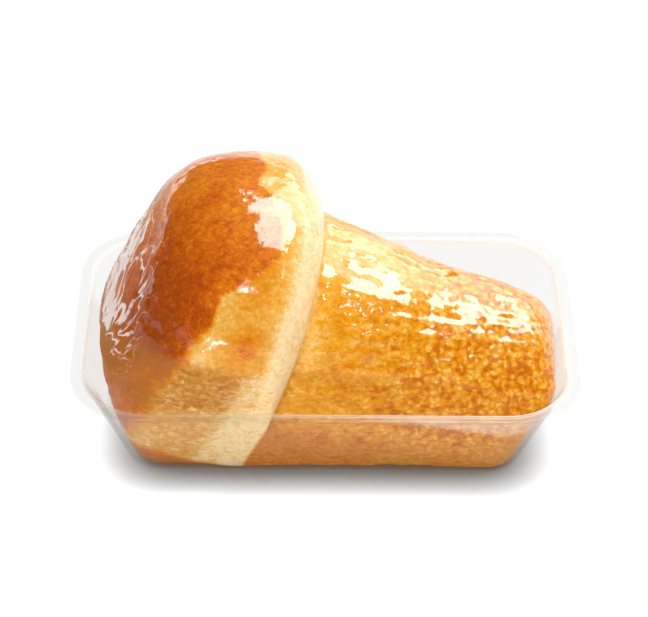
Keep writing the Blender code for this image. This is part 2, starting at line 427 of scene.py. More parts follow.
        # The coat is full along the glint streaks, over their painted highlight.
        coat = add_node(tree, "Math", {"operation": "MAXIMUM"}, (marks["film"], glint_streak))
        surface = add_node(
            tree, "BsdfPrincipled",
            Base_Color=colour, Roughness=0.50, IOR=1.40, Specular_IOR_Level=0.08, Normal=rough,
            Subsurface_Weight=0.20, Subsurface_Radius=self.glow_share, Subsurface_Scale=self.glow_depth,
            Coat_Weight=coat, Coat_Roughness=0.03, Coat_IOR=1.48, Coat_Normal=film,
        )
        add_node(tree, "OutputMaterial", Surface=surface)
        return material


@dataclass(frozen=True)
class ClearFormedSheet:
    """Clear polyester sheet, vacuum formed: almost invisible face on, greyer and brighter seen edge on."""

    face_on: str = "#FAFAF9"
    edge_on: str = "#DCD6CE"
    shine: str = "#FFFFFF"
    # The white painted on the lip as a highlight and on the front wall as a reflection.
    painted_sheen: str = "#FFF4E8"
    roughness: float = 0.05
    gloss: float = 0.45
    least_gloss: float = 0.007

    def make(self) -> bpy.types.Material:
        """Builds the material.

        Returns:
            A transparent shader with a grey that deepens at grazing angles, and a gloss that grows there by
            Schlick's rule: the fifth power of how far the surface faces away, over a small floor. It is
            painted
            white where the sheet is marked for it: a painted highlight along the lip that it was drawn over,
                and a
            painted reflection where the cake stands just clear of it.
        """
        # Sheet drawn over a warm mould is clear and smooth. It shows by its bends, which shine, and by the
        # grey of its edges. A diffuse white is painted on as a highlight along the lip and as a reflection on
        # the front wall.
        material, tree = start_material("clear_polyester_sheet_vacuum_formed")
        facing = add_node(tree, "LayerWeight", output="Facing", Blend=0.5)
        stops = {0.0: self.face_on, 0.75: self.face_on, 1.0: self.edge_on}
        tint = add_node(tree, "ValToRGB", {"stops": stops}, (facing,))
        power = add_node(tree, "Math", {"operation": "POWER"}, (facing, 5.0))
        schlick = add_node(tree, "Math", {"operation": "MULTIPLY_ADD"}, (power, self.gloss, self.least_gloss))
        clear = add_node(tree, "BsdfTransparent", Color=tint)
        shine = add_node(tree, "BsdfAnisotropic", Color=to_linear(self.shine), Roughness=self.roughness)
        # Painted highlight and reflection: a diffuse white mixed in where the sheet is marked for it.
        painted_sheen_white = add_node(tree, "BsdfDiffuse", Color=to_linear(self.painted_sheen))
        painted_sheen = add_node(tree, "Attribute", {"attribute_name": "painted_sheen"}, output="Fac")
        surface = add_node(tree, "MixShader", values=(schlick, clear, shine))
        surface = add_node(tree, "MixShader", values=(painted_sheen, surface, painted_sheen_white))
        add_node(tree, "OutputMaterial", Surface=surface)
        return material


@dataclass(frozen=True)
class LitPaperSweep:
    """White studio paper lit from all sides: pure white, and shaded where the tray stands close over it."""

    glow: float = 1.0
    reach_mm: float = 9.0
    depth: float = 1.40
    toward: tuple[float, float, float] = (0.0, 0.30, 0.954)
    shade_stops: tuple[tuple[float, str], ...] = ((0.0, "#6E4826"), (0.15, "#706860"), (1.0, "#FFFFFF"))
    matt: str = "#262626"
    rays: int = 24

    def make(self) -> bpy.types.Material:
        """Builds the material.

        Returns:
            A glow that follows a power of how open each spot is to the light behind the tray, from white
            through grey to the brown that the cake throws on the paper under it, over a dark matt surface.
        """
        # Matt paper, lit until it is plain white, shows only the soft shade of what stands on it.
        material, tree = start_material("white_paper_sweep_lit")
        toward = add_node(tree, "Normal")
        toward.default_value = self.toward
        reach = self.reach_mm * MILLIMETRE
        openness = add_node(
            tree, "AmbientOcclusion", {"samples": self.rays}, output="AO", Distance=reach, Normal=toward
        )
        level = add_node(tree, "Math", {"operation": "POWER"}, (openness, self.depth))
        shade = add_node(tree, "ValToRGB", {"stops": dict(self.shade_stops)}, (level,))
        lit = add_node(tree, "Emission", Color=shade, Strength=self.glow)
        matt = add_node(tree, "BsdfDiffuse", Color=to_linear(self.matt))
        add_node(tree, "OutputMaterial", Surface=add_node(tree, "AddShader", values=(lit, matt)))
        return material


def make_piece(
    name: str, points: np.ndarray, faces: np.ndarray, material: bpy.types.Material
) -> bpy.types.Object:
    """Puts a surface into the scene as one smooth-shaded mesh at the origin.

    Args:
        name: the piece's name.
        points: one row of three coordinates for each vertex, in metres.
        faces: one row of four vertex numbers for each face; a triangle repeats its last number.
        material: its finish.

    Returns:
        The new object.
    """
    mesh = bpy.data.meshes.new(name)
    rows = [tuple(dict.fromkeys(row)) for row in faces.tolist()]
    mesh.from_pydata(points.tolist(), [], rows)
    mesh.polygons.foreach_set("use_smooth", np.ones(len(rows), dtype=bool))
    mesh.materials.append(material)
    mesh.update()
    piece = bpy.data.objects.new(name, mesh)
    bpy.context.scene.collection.objects.link(piece)
    return piece


def store_marks(piece: bpy.types.Object, names: tuple[str, ...], marks: np.ndarray) -> None:
    """Stores numbers on a piece's vertices as the attributes that its material reads.

    Args:
        piece: the piece.
        names: the attributes' names.
        marks: one row for each vertex, one column for each name.
    """
    for name, values in zip(names, marks.T):
        layer = piece.data.attributes.new(name, "FLOAT", "POINT")
        layer.data.foreach_set("value", values.astype(np.float32))


def close_grid(rings: np.ndarray) -> tuple[np.ndarray, np.ndarray]:
    """Closes a tube of rings by drawing its first and last ring each to one point.

    Args:
        rings: grid of points, ring by ring, each ring going round.

    Returns:
        The vertices, and the faces as rows of four numbers.
    """
    count, around = rings.shape[:2]
    points = np.concatenate([
        rings[0].mean(axis=0)[None], rings[1:-1].reshape(-1, rings.shape[2]), rings[-1].mean(axis=0)[None]
    ])
    column = np.arange(around)
    after = (column + 1) % around
    start = 1 + np.arange(count - 3)[:, None] * around
    above = start + around
    walls = np.stack([start + column, start + after, above + after, above + column], axis=-1)
    last = len(points) - 1
    bottom = last - around
    first_cap = np.stack([np.zeros(around, dtype=int), 1 + after, 1 + column, 1 + column], axis=-1)
    last_cap = np.stack([np.full(around, last), bottom + column, bottom + after, bottom + after], axis=-1)
    return points, np.concatenate([walls.reshape(-1, 4), first_cap, last_cap])


def turn_outward(points: np.ndarray, faces: np.ndarray) -> np.ndarray:
    """Makes the faces of a closed surface point outward.

    The volume inside is the sum of the cones from the origin over each face. If it is negative, all faces
    are reversed.

    Args:
        points: one row of coordinates for each vertex.
        faces: one row of four vertex numbers for each face.

    Returns:
        The faces, each in the order that points it outward.
    """
    a, b, c, d = (points[faces[:, k], :3] for k in range(4))
    volume = np.einsum("ij,ij->i", a, np.cross(b, c)).sum()
    volume += np.einsum("ij,ij->i", a, np.cross(c, d)).sum()
    return faces if volume > 0.0 else faces[:, ::-1]


@dataclass
class Tray:
    """The clear tray: a drafted, round-cornered box of thin sheet with a flat flange."""

    length: float = 0.127
    width: float = 0.077
    height: float = 0.0288
    flange: float = 0.0030
    draft: float = 0.0108
    rim_corner: float = 0.0183
    corner_shrink: float = 0.77
    foot_radius: float = 0.0026
    lip_radius: float = 0.0012
    sheet: float = 0.0005
    corner_facets: int = 3
    facets_from: float = 0.08
    facets_to: float = 0.92
    facets_fade: float = 0.2
    lip_guard: float = 0.0005
    lip_guard_run: float = 0.006
    flare: float = 0.45
    # Strength of the painted highlight round the lip's bend and its spread, then the wedge's painted
    # reflection.
    lip_sheen_paint: float = 0.34
    front_sheen_paint: float = 0.34
    sheen_paint_spread: float = 0.0005
    crease_at: float = -0.022
    wedge_reflection_paint: float = 0.15
    wedge_drop: float = 0.0108
    wedge_from: float = 0.004
    wedge_run: float = 0.042
    corner_points: int = 31
    side_points: tuple[int, int] = (28, 16)
    lip_points: int = 7
    foot_points: int = 9
    edge_points: int = 5
    wall_points: int = 26
    floor_rings: int = 7
    floor_slit: float = 0.0004

    def reach(self, depth: np.ndarray) -> tuple[np.ndarray, np.ndarray, np.ndarray]:
        """Size of the outline that runs a depth inside the flange's outer edge.

        Args:
            depth: how far inside the outline runs.

        Returns:
            Half length, half width and corner radius, each less by the depth or a share of it.
        """
        corner = self.rim_corner - self.corner_shrink * depth
        return self.length / 2 - depth, self.width / 2 - depth, corner

    def wall(self, offset: float, steps: int = 8) -> np.ndarray:
        """Outline of the sheet from the flange over the lip and down the wall to the foot.

        Args:
            offset: how far inside the sheet's outer face the line runs.
            steps: how many points the straight wall has.

        Returns:
            Rows of depth inside the flange's outer edge, and height. The lip and the foot are arcs that touch
            the flange, the straight wall and the floor, and each point is moved along its own normal.
        """
        slope = np.arctan2(self.draft, self.height)
        under = self.height - self.sheet
        bend = np.pi / 2 - slope
        lip_cut = self.lip_radius * np.tan(bend / 2)
        foot_cut = self.foot_radius * np.tan(bend / 2)
        turn = np.linspace(0.0, bend, self.lip_points)
        lip = np.stack([
            self.flange - lip_cut + self.lip_radius * np.sin(turn),
            under - self.lip_radius + self.lip_radius * np.cos(turn),
        ], axis=1)
        lip_out = np.stack([np.sin(turn), np.cos(turn)], axis=1)
        turn = np.linspace(bend, 0.0, self.foot_points)
        foot = np.stack([
            self.flange + self.draft + foot_cut - self.foot_radius * np.sin(turn),
            self.foot_radius - self.foot_radius * np.cos(turn),
        ], axis=1)
        foot_out = np.stack([np.sin(turn), np.cos(turn)], axis=1)
        part = np.linspace(0.0, 1.0, steps)[1:-1, None]
        straight = lip[-1] * (1.0 - part) + foot[0] * part
        straight_out = np.repeat(lip_out[-1:], len(part), axis=0)
        edge = np.array([[0.0, under]])
        edge_out = np.array([[0.0, 1.0]])
        line = np.concatenate([edge, lip, straight, foot])
        return line + offset * np.concatenate([edge_out, lip_out, straight_out, foot_out])

    def beyond(self, points: np.ndarray, clearance: float) -> np.ndarray:
        """How far each point stands outside the room that the tray leaves for the cake.

        The room follows the walls up to the lip and flares out above it, so the cap swells over the flange.
        At each height it is a rectangle with corners between a round and a facet, and the distance is the
        greater of that from its outline and that from the floor.

        Args:
            points: places of any number, three coordinates each.
            clearance: how far the room keeps off the sheet.

        Returns:
            The distance at each place, negative inside the room.
        """
        line = self.wall(self.sheet + clearance)[self.lip_points:]
        order = np.argsort(line[:, 1])
        height = points[..., 2]
        depth = np.interp(height, line[order, 1], line[order, 0])
        depth = depth + self.lip_guard * ease((height - self.height) / self.lip_guard_run + 1.0)
        depth = depth - self.flare * np.maximum(height - self.height - clearance, 0.0)
        half_x, half_y, corner = self.reach(depth)
        over_x = np.abs(points[..., 0]) - (half_x - corner)
        over_y = np.abs(points[..., 1]) - (half_y - corner)
        away = np.hypot(np.maximum(over_x, 0.0), np.maximum(over_y, 0.0))
        bevel = np.clip(4.0 * np.minimum(over_x, over_y) / corner, 0.0, 1.0)
        away = away * (1.0 + bevel * (1.0 / np.cos(np.pi / 4 / self.corner_facets) - 1.0))
        side = away + np.minimum(np.maximum(over_x, over_y), 0.0) - corner
        return np.maximum(side, self.sheet + clearance - height)

    def ring(self, depth: float, height: float, faceting: float) -> np.ndarray:
        """One level outline of the tray, going round.

        Each corner is a quarter circle blended with its chords, and straight sides join the corners.

        Args:
            depth: how far inside the flange's outer edge it runs.
            height: its height.
            faceting: share of the chords in the corners, from 0 to 1.

        Returns:
            Rows of three coordinates.
        """
        half_x, half_y, corner = self.reach(depth)
        turn = np.linspace(0.0, np.pi / 2, self.corner_points)
        step = np.pi / 2 / self.corner_facets
        base = np.minimum(np.floor(turn / step + 1e-9), self.corner_facets - 1) * step
        part = (turn - base) / step
        chord_x = (1.0 - part) * np.cos(base) + part * np.cos(base + step)
        chord_y = (1.0 - part) * np.sin(base) + part * np.sin(base + step)
        arc_x = (1.0 - faceting) * np.cos(turn) + faceting * chord_x
        arc_y = (1.0 - faceting) * np.sin(turn) + faceting * chord_y
        corners = []
        for sign_x, sign_y, cos_q, sin_q in ((1, 1, 1, 0), (-1, 1, 0, 1), (-1, -1, -1, 0), (1, -1, 0, -1)):
            xs = sign_x * (half_x - corner) + corner * (cos_q * arc_x - sin_q * arc_y)
            ys = sign_y * (half_y - corner) + corner * (sin_q * arc_x + cos_q * arc_y)
            corners.append(np.stack([xs, ys], axis=1))
        pieces = []
        for index, here in enumerate(corners):
            after = corners[(index + 1) % 4][0]
            part = np.linspace(0.0, 1.0, self.side_points[index % 2] + 2)[1:-1, None]
            pieces += [here, here[-1] * (1.0 - part) + after * part]
        outline = np.concatenate(pieces)
        return np.column_stack([outline, np.full(len(outline), height)])

    def painted_sheen(self, outline: np.ndarray, depth: float) -> np.ndarray:
        """How much painted white the sheet takes round one outline.

        The greater of a painted highlight, a bell curve about the lip's bend, stronger along the front, and a
        painted reflection, a wedge on the front wall from the lip down to a line that drops toward the right,
        where the stem stands just clear of it.

        Args:
            outline: rows of three coordinates.
            depth: how far inside the flange's outer edge the outline runs.

        Returns:
            The painted white at each point, from 0 to 1.
        """
        height = outline[:, 2]
        front = (outline[:, 1] < 0.0) * ease((outline[:, 0] - self.crease_at) / 0.01)
        on_top = height > self.height - self.lip_radius
        bend = (self.lip_sheen_paint + self.front_sheen_paint * front) * on_top
        bend = bend * Bell(self.flange, self.sheen_paint_spread).at(depth)
        drop = self.wedge_drop * np.clip((outline[:, 0] - self.wedge_from) / self.wedge_run, 0.0, 1.0)
        below = ease((self.height - height) / MILLIMETRE) * (depth > self.flange)
        above = ease((height - self.height + drop) / MILLIMETRE + 0.5) * (drop > 0.0)
        return np.maximum(bend, self.wedge_reflection_paint * front * below * above)

    def build(self, finish: ClearFormedSheet) -> bpy.types.Object:
        """Builds the closed sheet from rings up its outside, round the flange's edge and down its inside.

        Args:
            finish: the sheet's finish.

        Returns:
            The tray's piece.
        """
        under, over = self.wall(0.0, self.wall_points), self.wall(self.sheet, self.wall_points)
        turn = np.linspace(-np.pi / 2, np.pi / 2, self.edge_points + 2)[1:-1]
        half = self.sheet / 2
        edge = np.stack([half - half * np.cos(turn), self.height - half + half * np.sin(turn)], axis=1)
        under[0, 0] = over[0, 0] = half
        middle = self.width / 2 - self.floor_slit
        inner = np.linspace(middle, under[-1, 0], self.floor_rings + 1)[:-1]
        floor_under = np.stack([inner, np.zeros(len(inner))], axis=1)
        floor_over = np.stack([inner[::-1], np.full(len(inner), self.sheet)], axis=1)
        line = np.concatenate([floor_under, under[::-1], edge, over, floor_over])
        rings = []
        for depth, height in line:
            rise = height / self.height
            faceting = ease((rise - self.facets_from) / self.facets_fade)
            faceting = faceting * ease((self.facets_to - rise) / self.facets_fade)
            outline = self.ring(depth, height, float(faceting))
            rings.append(np.column_stack([outline, self.painted_sheen(outline, depth)]))
        points, faces = close_grid(np.array(rings))
        piece = make_piece("clear_tray", points[:, :3], turn_outward(points, faces), finish.make())
        store_marks(piece, ("painted_sheen",), points[:, 3:])
        piece.visible_shadow = False
        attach(piece, "root")
        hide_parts("tray")
        log.info("clear tray: %d vertices", len(points))
        return piece


@dataclass
class Baba:
    """The cake: a domed cap with a rounded shoulder, a crease, and a tapering stem, lying in the tray."""

    tray: Tray
    cap_radius: float = 0.0421
    cap_depth: float = 0.0353
    cap_fullness: float = 2.21
    shoulder_reach: float = 0.0117
    shoulder_fullness: float = 1.52
    root_radius: float = 0.0303
    end_radius: float = 0.0193
    waist: float = 0.0012
    length: float = 0.1183
    end_round: float = 0.0072
    end_dome: float = 0.0010
    centre: tuple[float, float, float] = (-0.0214, -0.0009, 0.0315)
    tilt: float = 9.5
    turn: float = 4.6
    cap_lean: float = 0.147
    cap_twist: float = -0.044
    end_lean: float = 0.36
    crown_sag: float = -0.0007
    stem_sag: float = -0.0013
    cap_inside: float = 0.022
    stem_inside: float = 0.062
    clearance: float = 0.0001
    softness: float = 0.0004
    cap_softness: float = 0.0050
    slump_power: float = 7.0
    slump_from: float = -0.030
    side_density: float = 0.2
    rings: int = 296
    around: int = 332
    brown_edge: tuple[tuple[float, float], ...] = (
        (0.0, 0.30),
        (72.0, 0.323),
        (88.0, 0.326),
        (100.0, 0.355),
        (111.0, 0.368),
        (116.0, 0.345),
        (124.0, 0.300),
        (144.0, 0.283),
        (158.0, 0.260),
        (183.0, 0.243),
        (240.0, 0.24),
        (300.0, 0.28),
        (360.0, 0.30),
    )
    lumps: tuple[tuple[tuple[float, float, float], float, float], ...] = (
        ((-0.049, 0.012, 0.055), 0.013, -0.0024),
        ((-0.038, 0.012, 0.067), 0.012, 0.0037),
        ((-0.005, 0.008, 0.064), 0.008, -0.0015),
        ((0.018, 0.014, 0.048), 0.012, 0.0005),
        ((0.045, 0.010, 0.039), 0.010, 0.0019),
        ((0.056, -0.022, 0.020), 0.009, 0.0015),
        ((-0.026, -0.041, 0.038), 0.016, -0.0042),
    )
    outline_mm: float = 173.0
    girth_mm: float = 36.0
    spiral_slant: float = 0.35
    swells: tuple[tuple[int, float, float], ...] = ((3, 7.0, 0.22), (4, 3.2, 0.09))
    dents: tuple[tuple[int, float, float], ...] = ((13, 5.0, 0.34), (14, 9.0, 0.42))
    drifts: tuple[tuple[int, float, float], ...] = ((11, 8.0, 1.0), (12, 3.0, 0.5))
    wrinkles_from: Rise = Rise(0.455, 0.03)
    pits_from: Rise = Rise(0.55, 0.25)
    streaks_to: Rise = Rise(0.17, 0.08)
    fold_band: Bell = Bell(0.362, 0.040)
    fold_side: Bell = Bell(155.0, 10.0)
    lobe_band: Bell = Bell(0.487, 0.020)
    lobe_side: Bell = Bell(133.0, 13.0)
    pale_lobe_band: Bell = Bell(0.487, 0.022)
    pale_lobe_side: Bell = Bell(133.0, 14.0)
    soft_edge_from: Rise = Rise(118.0, 50.0)
    soft_edge_to: Rise = Rise(250.0, 50.0)
    dark_band: Bell = Bell(0.19, 0.10)
    dark_front: Bell = Bell(136.0, 34.0)
    dark_low: Bell = Bell(215.0, 60.0)
    amber_band: Bell = Bell(0.350, 0.034)
    amber_front: Bell = Bell(141.0, 13.0)
    amber_high: Bell = Bell(115.0, 12.0)
    lip_from: Rise = Rise(0.378, 0.03)
    lip_to: Rise = Rise(0.465, 0.015)
    low_from: Rise = Rise(148.0, 12.0)
    low_to: Rise = Rise(330.0, 20.0)
    low_cream_from: Rise = Rise(0.345, 0.04)
    stem_seam: float = 0.452
    wide_seam: Bell = Bell(122.0, 25.0)
    coarse_from: Rise = Rise(0.50, 0.25)
    pale_sheen_top: Bell = Bell(88.0, 20.0)
    foot_height: float = 0.0090
    foot_brown: float = 0.66
    foot_tan: float = 0.50
    pole_to: Rise = Rise(0.04, 0.17)
    glint_streaks_to: Rise = Rise(174.0, 26.0)
    thin_film_from: Rise = Rise(0.045, 0.05)
    drained_from: Rise = Rise(132.0, 36.0)

    def outline(self) -> np.ndarray:
        """Half outline from the crown to the middle of the stem's end.

        The dome is a superellipse quarter, the shoulder another turned back to the stem, the stem a straight
        taper with a slight waist, and the end a quarter circle and a shallow face.

        Returns:
            Rows of distance along the axis from the widest ring, and radius.
        """
        turn = np.linspace(0.0, np.pi / 2, 60)
        power = 2.0 / self.cap_fullness
        along, radius = -self.cap_depth * np.cos(turn) ** power, self.cap_radius * np.sin(turn) ** power
        dome = np.stack([along, radius], axis=1)
        turn = np.linspace(np.pi / 2, 0.0, 30)[1:]
        power = 2.0 / self.shoulder_fullness
        drop = self.cap_radius - self.root_radius
        along = self.shoulder_reach * np.maximum(np.cos(turn), 0.0) ** power
        shoulder = np.stack([along, self.root_radius + drop * np.sin(turn) ** power], axis=1)
        stop = self.length - self.cap_depth - self.end_round
        part = np.linspace(0.0, 1.0, 60)[1:]
        radius = self.root_radius + (self.end_radius - self.root_radius) * part
        radius = radius - self.waist * 4.0 * part * (1.0 - part)
        stem = np.stack([self.shoulder_reach + (stop - self.shoulder_reach) * part, radius], axis=1)
        turn = np.linspace(0.0, np.pi / 2, 16)[1:]
        flat = self.end_radius - self.end_round
        along, radius = stop + self.end_round * np.sin(turn), flat + self.end_round * np.cos(turn)
        corner = np.stack([along, radius], axis=1)
        part = np.linspace(0.0, 1.0, 12)[1:]
        face = np.stack([stop + self.end_round + self.end_dome * part, flat * (1.0 - part)], axis=1)
        line = resample(np.concatenate([dome, shoulder, stem, corner, face]), 480)
        for _ in range(6):
            line[1:-1] = 0.25 * line[:-2] + 0.5 * line[1:-1] + 0.25 * line[2:]
        return resample(line, self.rings)

    def axes(self) -> tuple[np.ndarray, np.ndarray, np.ndarray]:
        """The cake's own directions, from its tilt down toward the stem and its turn toward the viewer.

        Returns:
            Unit vectors along the cake's axis, to its side and upward.
        """
        tilt, turn = np.radians([self.tilt, self.turn])
        along = np.array([np.cos(tilt) * np.cos(turn), -np.cos(tilt) * np.sin(turn), -np.sin(tilt)])
        lift = np.array([0.0, 0.0, 1.0]) - along[2] * along
        lift /= np.linalg.norm(lift)
        return along, np.cross(lift, along), lift

    def press(self, anchors: np.ndarray, points: np.ndarray, softness: np.ndarray) -> np.ndarray:
        """Draws points back toward the cake's middle until they clear the tray.

        Each point moves along its own ray: the ray's first crossing of the tray's room is found by steps and
        halving, and the reach is the soft minimum of its own length and that crossing.

        Args:
            anchors: the middle that each ray starts from.
            points: the free shape.
            softness: how roundly each point gives way, in metres.

        Returns:
            The pressed shape.
        """
        steps = np.linspace(0.0, 1.25, 51)
        low = np.zeros(points.shape[:-1])
        found = np.zeros(points.shape[:-1], dtype=bool)
        for after in steps[1:]:
            hit = self.tray.beyond(anchors + (points - anchors) * after, self.clearance) > 0.0
            low = np.where(found | hit, low, after)
            found |= hit
        high = low + steps[1]
        for _ in range(16):
            middle = 0.5 * (low + high)
            tried = anchors + (points - anchors) * middle[..., None]
            clear = self.tray.beyond(tried, self.clearance) <= 0.0
            low, high = np.where(clear, middle, low), np.where(clear, high, middle)
        radius = np.maximum(np.linalg.norm(points - anchors, axis=-1), 1e-9)
        room = np.where(found, low * radius, radius + 1.0)
        spread = softness * np.clip(radius / 0.008, 0.02, 1.0)
        held = 0.5 * (radius + room - np.sqrt((radius - room) ** 2 + spread ** 2))
        held = np.where(found, np.minimum(held, room), radius)
        return anchors + (points - anchors) * (held / radius)[..., None]

    def spiral(self, share: np.ndarray, turn: np.ndarray) -> tuple[np.ndarray, np.ndarray]:
        """Places on the slightly spiral rings that the syrup runs along on the crown.

        The way round is the angle from the front times the distance from the pole, at most the cap's girth.
        The way across is the distance from the pole plus a share of the way round.

        Args:
            share: each point's share of the way along the outline.
            turn: each point's degrees round the axis.

        Returns:
            Millimetres across the rings and round them.
        """
        away = share * self.outline_mm
        round_mm = np.radians(turn - 180.0) * np.minimum(away, self.girth_mm)
        return away + self.spiral_slant * round_mm, round_mm

    def relief(self, points: np.ndarray, share: np.ndarray, turn: np.ndarray) -> np.ndarray:
        """Height of the skin's unevenness, in metres.

        Args:
            points: the smooth surface.
            share: each point's share of the way along the outline.
            turn: each point's degrees round the axis, 90 being the top and 180 the front.

        Returns:
            Broad and fine swells everywhere, lengthwise wrinkles and pits on the stem, slanting streaks round
            the crown, folds along the cap's low front, and the small lobe under the cap's lip.
        """
        mm = points / MILLIMETRE
        round_mm = np.radians(turn) * self.girth_mm
        along_mm = share * self.outline_mm

        def drawn_out(seed: int, along: np.ndarray, around: np.ndarray) -> np.ndarray:
            """Unevenness over two ways along the skin, each already divided by its own length."""
            return Unevenness(seed).at(np.stack([along, around, np.zeros_like(along)], axis=-1))

        swell, dent = heave(mm, self.swells), heave(mm, self.dents)
        on_stem = self.wrinkles_from.at(share)
        coarse = self.pits_from.at(share)
        wrinkle = drawn_out(5, along_mm / 9.0, round_mm / 2.3 + 0.9 * along_mm / 13.0)
        ripple = drawn_out(9, along_mm / 4.2, round_mm / 1.9)
        crumb = Unevenness(6).at(mm / 1.6)
        stem = 0.22 * wrinkle + dent + (0.08 - 0.03 * coarse) * ripple + (0.03 + 0.035 * coarse) * crumb
        on_crown = 1.0 - self.streaks_to.at(share)
        across, around = self.spiral(share, turn)
        streak = 1.0 - 2.6 * np.abs(drawn_out(7, across / 4.6, around / 13.0))
        thread = drawn_out(10, (along_mm + 0.5 * round_mm) / 1.3, round_mm / 7.0)
        low_front = self.fold_band.at(share) * self.fold_side.at(turn)
        fold = drawn_out(8, along_mm / 4.5, round_mm / 1.5 + 0.5 * Unevenness(15).at(mm / 3.5))
        lobe = self.lobe_band.at(share) * self.lobe_side.at(turn)
        total = swell + on_stem * stem + on_crown * (0.28 * streak + 0.05 * thread)
        return (total + 0.30 * low_front * fold + 0.8 * lobe) * MILLIMETRE

    def marks(self, points: np.ndarray, share: np.ndarray, turn: np.ndarray) -> np.ndarray:
        """What the skin is like at each point, as levels from 0 to 1.

        Each level is a sum of bell curves and smooth steps over the outline's share, the turn and the height.
        The crown is browned up to an edge that is soft below, and lighter on top, where part of the lightness
        is painted sheen. The lip and the low front are cream, the low front is tanned over it, and the foot
        is darker.
        The stem is wet where it lies against the sheet, darker there partly as painted shade, and paler on
        top, partly as painted sheen. The syrup has drained from the low front, and has drawn off the crown
        into streaks that carry painted highlight, for which across and round say where each point is on the
        streaks' spiral.

        Args:
            points: the finished surface.
            share: each point's share of the way along the outline.
            turn: each point's degrees round the axis, 90 being the top and 180 the front.

        Returns:
            The levels along a last axis, in the order of CAKE_MARKS.
        """
        mm = points / MILLIMETRE
        drift = heave(mm, self.drifts)
        turns, shares = np.array(self.brown_edge).T
        edge = np.interp(turn, turns, shares) + 0.006 * drift
        blur = 0.005 + 0.040 * self.soft_edge_from.at(turn) * (1.0 - self.soft_edge_to.at(turn))
        brown = ease((edge - share) / blur + 0.5)
        # The crown's brown deepens toward the front and low down and is lighter on top: partly baked colour,
        # partly painted sheen on the top.
        dark = (self.dark_front.at(turn) + 0.45 * self.dark_low.at(turn)) * self.dark_band.at(share)
        crown_bake_and_top_sheen = 0.53 + 0.30 * dark + 0.02 * drift
        amber = self.amber_band.at(share) * (self.amber_front.at(turn) + 0.8 * self.amber_high.at(turn))
        rest_bake = 0.21 + 0.26 * amber + 0.05 * drift
        lip = self.lip_from.at(share) * (1.0 - self.lip_to.at(share))
        low = self.low_from.at(turn) * (1.0 - self.low_to.at(turn))
        cream = np.maximum(lip, 0.8 * low * self.low_cream_from.at(share))
        rest_bake = rest_bake * (1.0 - cream) + 0.03 * cream
        bake = crown_bake_and_top_sheen * brown + rest_bake * (1.0 - brown)
        stem = ease((share - self.stem_seam) / (0.016 + 0.022 * self.wide_seam.at(turn)))
        lobe = self.pale_lobe_band.at(share) * self.pale_lobe_side.at(turn)
        coarse = self.coarse_from.at(share)
        # The stem is paler on top, partly its own colour and partly painted sheen; the lobe and the coarse
        # cells are paler in colour.
        pale = 0.26 + 0.40 * self.pale_sheen_top.at(turn) + 0.6 * lobe + 0.12 * drift + 0.62 * coarse
        ahead, height = points[..., 0], points[..., 2]
        # The foot, low down toward the crown's end, is darker and browner.
        foot_top = self.foot_height * ease((-0.024 - ahead) / 0.022) + 0.0009 * drift
        foot = ease((foot_top - height) / 0.0042 + 0.5) * ease((self.tray.crease_at - ahead) / 0.006)
        foot = foot * (1.0 - stem)
        above = ease((height - self.tray.height + 0.004) / 0.004)
        bake = bake * (1.0 - foot) + self.foot_brown * foot
        tan = (0.34 + 0.36 * above) * low * (1.0 - 0.92 * cream) * (1.0 - foot)
        tan = np.maximum(tan, self.foot_tan * foot)
        # The stem is darker where it lies against the sheet below the rim, partly as wet contact and partly
        # as painted shade.
        wet = 1.0 - ease(-self.tray.beyond(points, self.clearance) / 0.003)
        wet = wet * stem * ease((self.tray.height - height) / MILLIMETRE)
        coarse = coarse * (1.0 - 0.75 * wet)
        left = 1.0 - self.pole_to.at(share)
        # run: where the glint streaks of painted highlight reach, near the crown's pole and ending round the
        # front.
        run = left * (0.85 + 0.5 * Unevenness(16).at(mm / 7.0)) * (1.0 - self.glint_streaks_to.at(turn))
        film = 1.0 - 0.70 * ease(left / 0.25) * self.thin_film_from.at(share)
        film = film * (1.0 - 0.65 * self.drained_from.at(turn) * (1.0 - self.low_to.at(turn)))
        across, around = self.spiral(share, turn)
        across, around = 0.5 + across / SPIRAL_MM, 0.5 + around / SPIRAL_MM
        levels = (bake, stem, pale, tan, coarse, wet, run, film, across, around)
        return np.clip(np.stack(levels, axis=-1), 0.0, 1.0)

